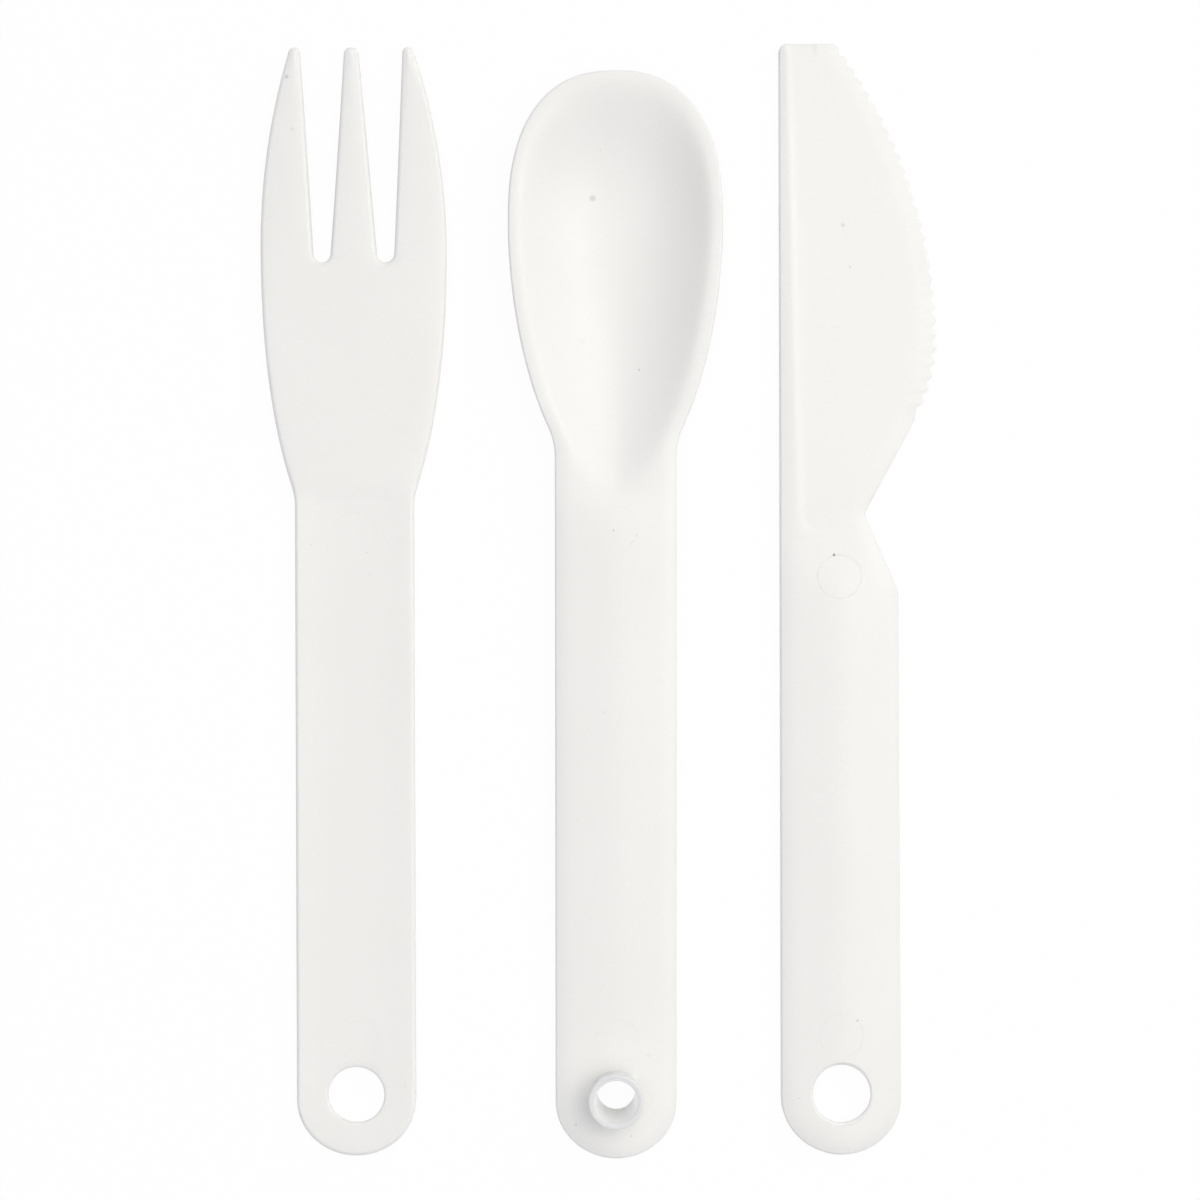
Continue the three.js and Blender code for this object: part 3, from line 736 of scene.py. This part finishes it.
def raise_peg(piece, foot):
    """Hollow peg with a fillet at its foot, a rounded lip and a slightly tapered bore."""
    shaft = PEG_SHAFT / 2
    lip = PEG_LIP / 2
    corner = at(shaft + PEG_FILLET, foot + PEG_FILLET)
    foot_curve = [(p.x, p.y) for p in arc(corner, PEG_FILLET, -math.pi / 2, -math.pi, 8)]
    lip_centre = at(lip - PEG_LIP_ROUND, PEG_HEIGHT - PEG_LIP_ROUND)
    lip_curve = [(p.x, p.y) for p in arc(lip_centre, PEG_LIP_ROUND, 0, math.pi / 2, 6)]
    lip_foot = PEG_HEIGHT - PEG_LIP_HEIGHT
    waist = [(shaft, lip_foot - (lip - shaft)), (lip, lip_foot)]
    wall = [(0, foot - 1), (shaft + PEG_FILLET, foot - 1)] + foot_curve + waist + lip_curve
    combine(piece, turned("peg", wall + [(0, PEG_HEIGHT)], PEG_FROM_END), "UNION")

    top = PEG_BORE_TOP / 2
    bottom = PEG_BORE_BOTTOM / 2
    # The mouth's round ends just above the lip's flat face, so that the cut is clean
    above_lip = 0.02
    mouth_corner = at(top + PEG_MOUTH_ROUND, PEG_HEIGHT - PEG_MOUTH_ROUND + above_lip)
    mouth = [(p.x, p.y) for p in arc(mouth_corner, PEG_MOUTH_ROUND, math.pi, math.pi / 2, 8)]
    bore = [(0, -1), (bottom, -1), (bottom, 0)] + mouth
    bore += [(top + PEG_MOUTH_ROUND, PEG_HEIGHT + 1), (0, PEG_HEIGHT + 1)]
    combine(piece, turned("bore", bore, PEG_FROM_END), "DIFFERENCE")


def make_knife():
    """Crowned handle, narrow neck and a thinner blade with a toothed edge."""
    half = KNIFE_HANDLE_WIDTH / 2
    neck_at = KNIFE_HANDLE_LENGTH + NECK_FROM_SHOULDER
    heel_at = neck_at + HEEL_FROM_NECK
    belly_at = heel_at + BELLY_FROM_HEEL
    length = belly_at + POINT_FROM_BELLY
    belly_x = BLADE_WIDTH - half
    tip = at(BLADE_TIP_WIDTH - half, length)

    # Two arcs meet upright at the belly: a wide one up to the tip, a tight one down to the heel
    inset = belly_x - tip.x
    edge_radius = (inset**2 + POINT_FROM_BELLY**2) / (2 * inset)
    edge_centre = at(belly_x - edge_radius, belly_at)
    edge_length = edge_radius * math.asin(POINT_FROM_BELLY / edge_radius)
    heel_centre = at(belly_x - HEEL_ARC, belly_at)
    heel_sweep = math.asin(BELLY_FROM_HEEL / HEEL_ARC)
    heel_length = HEEL_ARC * heel_sweep

    def edge_at(travelled, depth):
        if travelled < heel_length:
            angle = travelled / HEEL_ARC - heel_sweep
            return arc(heel_centre, HEEL_ARC - depth, angle, angle, 1)[0]
        angle = (travelled - heel_length) / edge_radius
        return arc(edge_centre, edge_radius - depth, angle, angle, 1)[0]

    heel = edge_at(0, 0)
    edge_end = edge_length + heel_length
    tooth_count = math.floor(edge_end / TOOTH_PITCH)
    first_tooth = edge_end - tooth_count * TOOTH_PITCH + TEETH_SHIFT

    def across_middle(point):
        return at((point.x - half) / 2, point.y)

    # Each tooth is a point between two sharp valleys: its flank toward the handle is straight and
    # the other one bulges. The last tooth runs on into the tip's corner.
    def tooth_height(tooth, step):
        if step <= TOOTH_STEPS / 2:
            return (2 * step / TOOTH_STEPS) ** 0.9
        if tooth == tooth_count - 1:
            return 1
        return (2 * (TOOTH_STEPS - step) / TOOTH_STEPS) ** 0.65

    last_middle = across_middle(edge_at(edge_end - 4.5, 0))
    teeth = []
    for tooth in range(tooth_count):
        facing = across_middle(edge_at(first_tooth + tooth * TOOTH_PITCH, 0))
        middle = facing if facing.y < last_middle.y else last_middle
        for step in range(TOOTH_STEPS):
            travelled = first_tooth + (tooth + step / TOOTH_STEPS) * TOOTH_PITCH
            depth = TOOTH_DEPTH * (1 - tooth_height(tooth, step))
            if travelled < edge_end - TIP_CORNER:
                teeth.append((edge_at(travelled, depth), middle))

    # Recess of the blade's upper face: it leaves a band along the spine and ends below the neck
    recess_from = neck_at - RECESS_FROM_NECK

    def band_inner(y):
        share = clamp((y - neck_at) / (length - neck_at))
        return -half + lerp(SPINE_BAND_NECK, SPINE_BAND_TIP, share)

    def into_recess(x, y):
        beside = x - band_inner(y)
        above = y - recess_from
        nearest = min(beside, above)
        if nearest <= 0 or max(beside, above) >= RECESS_CORNER:
            return nearest
        return RECESS_CORNER - math.hypot(RECESS_CORNER - beside, RECESS_CORNER - above)

    def from_edge(x, y):
        if y > belly_at:
            return edge_radius - math.hypot(x - edge_centre.x, y - belly_at)
        if y > heel_at:
            return HEEL_ARC - math.hypot(x - heel_centre.x, y - belly_at)
        return (heel.x - x) * math.cos(heel_sweep) - (heel.y - y) * math.sin(heel_sweep)

    shoulder = at(KNIFE_SHOULDER_WIDTH - half, KNIFE_HANDLE_LENGTH)
    neck = at(NECK_WIDTH - half, neck_at)

    def shoulder_side(y):
        return at(lerp(shoulder.x, neck.x, (y - KNIFE_HANDLE_LENGTH) / NECK_FROM_SHOULDER), y)

    def handle_side(y):
        share = (y - HANDLE_END) / (KNIFE_HANDLE_LENGTH - HANDLE_END)
        return at(lerp(half, shoulder.x, share), y)

    handle_heights = spaced(HANDLE_END, KNIFE_HANDLE_LENGTH - 2.4, 3)[1:]
    right = stretch([handle_side(y) for y in handle_heights], across_middle)
    right += stretch(rounded_corner(at(half, HANDLE_END), shoulder, neck, NECK_CORNER, 8), across_middle)
    recess_heights = spaced(recess_from, recess_from + RECESS_SLOPE + 0.4, 0.16)
    below_recess = spaced(KNIFE_HANDLE_LENGTH + 2.0, recess_from, 0.8)[:-1]
    right += stretch([shoulder_side(y) for y in below_recess + recess_heights], across_middle)
    right += stretch(rounded_corner(shoulder, neck, heel, NECK_RADIUS, 12), across_middle)
    right += stretch([neck.lerp(heel, share) for share in spaced(0.1, 1, 0.05)], across_middle)
    right += teeth
    middles = []
    for _, middle in right:
        if not middles or middle != middles[-1]:
            middles.append(middle)
    outline = handle_end(half, -math.pi, 0, 56)
    outline += right
    outline += [(at(x, length), last_middle) for x in spaced(tip.x - TIP_CORNER, -half + 2.2, 0.5)]
    spine_corner = rounded_corner(tip, at(-half, length), at(-half, 0), SPINE_CORNER, 12)
    outline += stretch(spine_corner, lambda p: last_middle)
    outline += [(at(-half, y), last_middle) for y in spaced(length - 2, last_middle.y, 0.6)]
    outline += [(at(-half, m.y), m) for m in reversed(middles) if m.y < last_middle.y - 0.01]

    taper = (BLADE_SPINE_THICKNESS - BLADE_EDGE_THICKNESS) / (BLADE_WIDTH - SPINE_BAND_TIP)

    def upper(x, y):
        fading = 1 - ease((y - KNIFE_HANDLE_LENGTH + 2) / NECK_FROM_SHOULDER)
        handle_top = KNIFE_THICKNESS + KNIFE_CROWN * ridge(x, half) * fading
        sharpening = clamp(1 - from_edge(x, y) / SHARPENED_WIDTH) * clamp((y - heel_at + 3) / 4)
        blade_top = BLADE_SPINE_THICKNESS - taper * (x + half) - SHARPENED_DROP * sharpening
        settled = ease((y - recess_from) / RECESS_SETTLES)
        floor = lerp(handle_top - RECESS_STEP, blade_top, settled)
        return lerp(handle_top, floor, ease(into_recess(x, y) / RECESS_SLOPE))

    def upper_stops(point, middle, edge):
        if point.y < recess_from - 0.01:
            return HANDLE_STOPS
        if point.x > middle.x:
            inner = 0.9
            if point.y > heel_at - 3:
                inner = crossing(middle, edge, lambda x, y: SHARPENED_WIDTH - from_edge(x, y))
            sharpened = [lerp(inner, 1, share) for share in SHARPENED_STOPS]
            return sharpened + [inner] + [inner * share for share in BLADE_STOPS]
        brim = crossing(middle, edge, lambda x, y: -into_recess(x, y))
        floor = crossing(middle, edge, lambda x, y: RECESS_SLOPE - into_recess(x, y))
        band = [lerp(brim, 1, share) for share in BAND_STOPS]
        slope = [lerp(floor, brim, share) for share in SLOPE_STOPS]
        return band + slope + [floor] + [floor * share for share in BLADE_STOPS]

    def toothed(i):
        point, middle = outline[i]
        return point.y > heel_at and point.x > middle.x

    loops = plate(
        outline,
        KNIFE_THICKNESS,
        lambda x, y: 0.0,
        upper,
        lambda point, middle, edge: UNDERSIDE_STOPS,
        upper_stops,
        lambda i: TOOTH_ROUND if toothed(i) else EDGE_ROUND,
        lambda i: TOOTH_SHOULDER if toothed(i) else KNIFE_SHOULDER,
    )
    piece = skin("knife_moulding", loops)
    press_mark(piece, MARK_FROM_END)
    press_mark(piece, KNIFE_UPPER_MARK)
    drill(piece, KNIFE_HOLE, KNIFE_THICKNESS + KNIFE_CROWN - HOLE_RIM_DEPTH, KNIFE_HOLE_DRAFT)
    smooth(piece)
    lay_down(piece, "knife", KNIFE_LEAN)
    return piece


def white_plastic():
    """Moulded white plastic: satin, faintly mottled, with a fine grain, pin rings and specks; painted
    shade on the peg's lip and painted light in its bore.
    """
    material = bpy.data.materials.new("white_plastic")
    material.use_nodes = True
    nodes = material.node_tree.nodes
    links = material.node_tree.links
    shader = nodes["Principled BSDF"]
    shader.inputs["IOR"].default_value = 1.49
    shader.inputs["Subsurface Radius"].default_value = (1.0, 0.9, 0.75)
    shader.inputs["Subsurface Scale"].default_value = 0.0022
    place = nodes.new("ShaderNodeTexCoord")

    def noise(scale, detail):
        texture = nodes.new("ShaderNodeTexNoise")
        texture.inputs["Scale"].default_value = scale
        texture.inputs["Detail"].default_value = detail
        links.new(place.outputs["Object"], texture.inputs["Vector"])
        return texture.outputs["Fac"]

    def spread(value, low, high, start=0.3, stop=0.7):
        reach = nodes.new("ShaderNodeMapRange")
        reach.inputs["From Min"].default_value = start
        reach.inputs["From Max"].default_value = stop
        reach.inputs["To Min"].default_value = low
        reach.inputs["To Max"].default_value = high
        links.new(value, reach.inputs["Value"])
        return reach.outputs["Result"]

    def reckon(operation, first, second):
        node = nodes.new("ShaderNodeMath")
        node.operation = operation
        links.new(first, node.inputs[0])
        if isinstance(second, float):
            node.inputs[1].default_value = second
        else:
            links.new(second, node.inputs[1])
        return node.outputs["Value"]

    def blend(first, second, factor):
        node = nodes.new("ShaderNodeMix")
        node.data_type = "RGBA"
        for name, value in (("A", first), ("B", second)):
            if isinstance(value, tuple):
                node.inputs[name].default_value = (*value, 1)
            else:
                links.new(value, node.inputs[name])
        links.new(factor, node.inputs["Factor"])
        return node.outputs["Result"]

    level = nodes.new("ShaderNodeVectorMath")
    level.operation = "MULTIPLY"
    level.inputs[1].default_value = (1, 1, 0)
    links.new(place.outputs["Object"], level.inputs[0])

    def away_from(x, y):
        """Distance from an upright line through a place in the plan."""
        node = nodes.new("ShaderNodeVectorMath")
        node.operation = "DISTANCE"
        links.new(level.outputs["Vector"], node.inputs[0])
        node.inputs[1].default_value = (x * MILLIMETRE, y * MILLIMETRE, 0)
        return node.outputs["Value"]

    # The line that an ejector pin's rim leaves, broken in places, and the specks
    broken = spread(noise(700, 1), 0.35, 1)
    marks = None
    for x, y, strength, width in PIN_RINGS:
        off_line = reckon("ABSOLUTE", reckon("SUBTRACT", away_from(x, y), MARK_RADIUS * MILLIMETRE), 0.0)
        line = spread(off_line, strength, 0, 0.3 * width * MILLIMETRE, width * MILLIMETRE)
        marks = reckon("MAXIMUM", line, marks) if marks else line
    marks = reckon("MULTIPLY", marks, broken)
    for x, y, strength, radius in SPECKS:
        dot = spread(away_from(x, y), strength, 0, 0.5 * radius * MILLIMETRE, radius * MILLIMETRE)
        marks = reckon("MAXIMUM", dot, marks)

    tint = blend(IVORY, PALE_IVORY, spread(noise(45, 3), 0, 1))
    tint = blend(tint, GRAIN_GREY, spread(noise(4200, 1), 0, 0.4))

    # Painted shade: the peg's flat lip is coloured a little greyer. Painted light: its bore is coloured
    # a little whiter
    height = nodes.new("ShaderNodeSeparateXYZ")
    links.new(place.outputs["Object"], height.inputs["Vector"])
    on_top = spread(height.outputs["Z"], 0, 1, 8.2 * MILLIMETRE, 8.4 * MILLIMETRE)
    within_lip = spread(away_from(*BORE_AXIS), 1, 0, 4.3 * MILLIMETRE, 4.5 * MILLIMETRE)
    in_bore = spread(away_from(*BORE_AXIS), 1, 0, 3.25 * MILLIMETRE, 3.4 * MILLIMETRE)
    tint = blend(tint, LIP_PAINTED_SHADE, reckon("MULTIPLY", on_top, within_lip))
    # Painted light: the bore's walls are coloured whiter than the plastic
    tint = blend(tint, BORE_PAINTED_LIGHT, in_bore)
    links.new(blend(tint, SPECK_BROWN, marks), shader.inputs["Base Color"])

    # Light passes through the thin wall of the peg and much less through the rest
    seep = spread(away_from(*BORE_AXIS), 0.8, 0.12, 4.3 * MILLIMETRE, 5.5 * MILLIMETRE)
    links.new(seep, shader.inputs["Subsurface Weight"])

    # The peg's bore has the gloss of the polished core that formed it
    satin = spread(noise(900, 2), 0.285, 0.35)
    gloss = nodes.new("ShaderNodeMix")
    links.new(in_bore, gloss.inputs["Factor"])
    links.new(satin, gloss.inputs["A"])
    gloss.inputs["B"].default_value = 0.1
    links.new(gloss.outputs["Result"], shader.inputs["Roughness"])

    grain = nodes.new("ShaderNodeBump")
    grain.inputs["Strength"].default_value = 0.1
    grain.inputs["Distance"].default_value = 0.00002
    links.new(noise(1300, 1), grain.inputs["Height"])
    waves = nodes.new("ShaderNodeBump")
    waves.inputs["Strength"].default_value = 0.35
    waves.inputs["Distance"].default_value = 0.00006
    links.new(noise(160, 1), waves.inputs["Height"])
    links.new(grain.outputs["Normal"], waves.inputs["Normal"])
    links.new(waves.outputs["Normal"], shader.inputs["Normal"])
    return material


def paper_white():
    """Floor of the studio: pure white to the camera, with the pieces' soft shadow kept."""
    material = bpy.data.materials.new("paper_white")
    material.use_nodes = True
    nodes = material.node_tree.nodes
    links = material.node_tree.links
    surface = nodes["Principled BSDF"]
    surface.inputs["Base Color"].default_value = (0.9, 0.9, 0.9, 1)
    surface.inputs["Roughness"].default_value = 0.9
    glow = nodes.new("ShaderNodeEmission")
    glow.inputs["Strength"].default_value = 1.0
    rays = nodes.new("ShaderNodeLightPath")
    seen = nodes.new("ShaderNodeMath")
    seen.operation = "MAXIMUM"
    links.new(rays.outputs["Is Camera Ray"], seen.inputs[0])
    links.new(rays.outputs["Is Glossy Ray"], seen.inputs[1])
    share = nodes.new("ShaderNodeMath")
    share.operation = "MULTIPLY"
    share.inputs[1].default_value = 0.96
    links.new(seen.outputs["Value"], share.inputs[0])
    mix = nodes.new("ShaderNodeMixShader")
    links.new(share.outputs["Value"], mix.inputs["Fac"])
    links.new(surface.outputs["BSDF"], mix.inputs[1])
    links.new(glow.outputs["Emission"], mix.inputs[2])
    links.new(mix.outputs["Shader"], nodes["Material Output"].inputs["Surface"])
    return material


def set_stage():
    deselect_all()
    bpy.ops.mesh.primitive_plane_add(size=6, location=(0, 0, 0))
    floor = bpy.context.object
    floor.name = "floor"
    floor.data.materials.append(paper_white())

    world = bpy.data.worlds.new("studio")
    bpy.context.scene.world = world
    world.use_nodes = True
    nodes = world.node_tree.nodes
    links = world.node_tree.links
    dome = nodes["Background"]
    dome.inputs["Color"].default_value = (0.86, 0.88, 1.0, 1)
    dome.inputs["Strength"].default_value = 0.47
    white = nodes.new("ShaderNodeBackground")
    white.inputs["Color"].default_value = (1, 1, 1, 1)
    rays = nodes.new("ShaderNodeLightPath")
    mix = nodes.new("ShaderNodeMixShader")
    links.new(rays.outputs["Is Camera Ray"], mix.inputs["Fac"])
    links.new(dome.outputs["Background"], mix.inputs[1])
    links.new(white.outputs["Background"], mix.inputs[2])
    links.new(mix.outputs["Shader"], nodes["World Output"].inputs["Surface"])


def softbox(name, place, aim, size, power, colour):
    lamp = bpy.data.lights.new(name, "AREA")
    lamp.shape = "RECTANGLE"
    lamp.size, lamp.size_y = size
    lamp.energy = power
    lamp.color = colour
    holder = bpy.data.objects.new(name, lamp)
    bpy.context.scene.collection.objects.link(holder)
    holder.location = place
    direction = Vector(aim) - Vector(place)
    holder.rotation_euler = direction.to_track_quat("-Z", "Y").to_euler()


def set_camera():
    """Straight above the middle of the set, at the distance that the peg's bore shows."""
    distance = 0.425
    view_width = 0.1835
    camera = bpy.data.cameras.new("camera")
    camera.sensor_width = 36
    camera.lens = 36 * distance / view_width
    holder = bpy.data.objects.new("camera", camera)
    bpy.context.scene.collection.objects.link(holder)
    holder.location = (0.00018, 0.00009, distance)
    bpy.context.scene.camera = holder


set_camera()
set_stage()
softbox("key", (0.728, 0.569, 1.182), (0, 0, 0), (1.8, 1.8), 13.8, DAYLIGHT)
softbox("window", (0.638, 0.298, 1.324), (0, 0, 0), (0.42, 0.42), 1.0, DAYLIGHT)
softbox("overhead", (0, -0.06, 0.45), (0, -0.06, 0), (0.45, 0.45), 0.58, SOFT_DAYLIGHT)

plastic = white_plastic()
for node, piece in (("fork", make_fork()), ("spoon", make_spoon()), ("knife", make_knife())):
    piece.data.materials.clear()
    piece.data.materials.append(plastic)
    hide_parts(node)
    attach(piece, "root")

bpy.context.scene.view_settings.view_transform = "Standard"
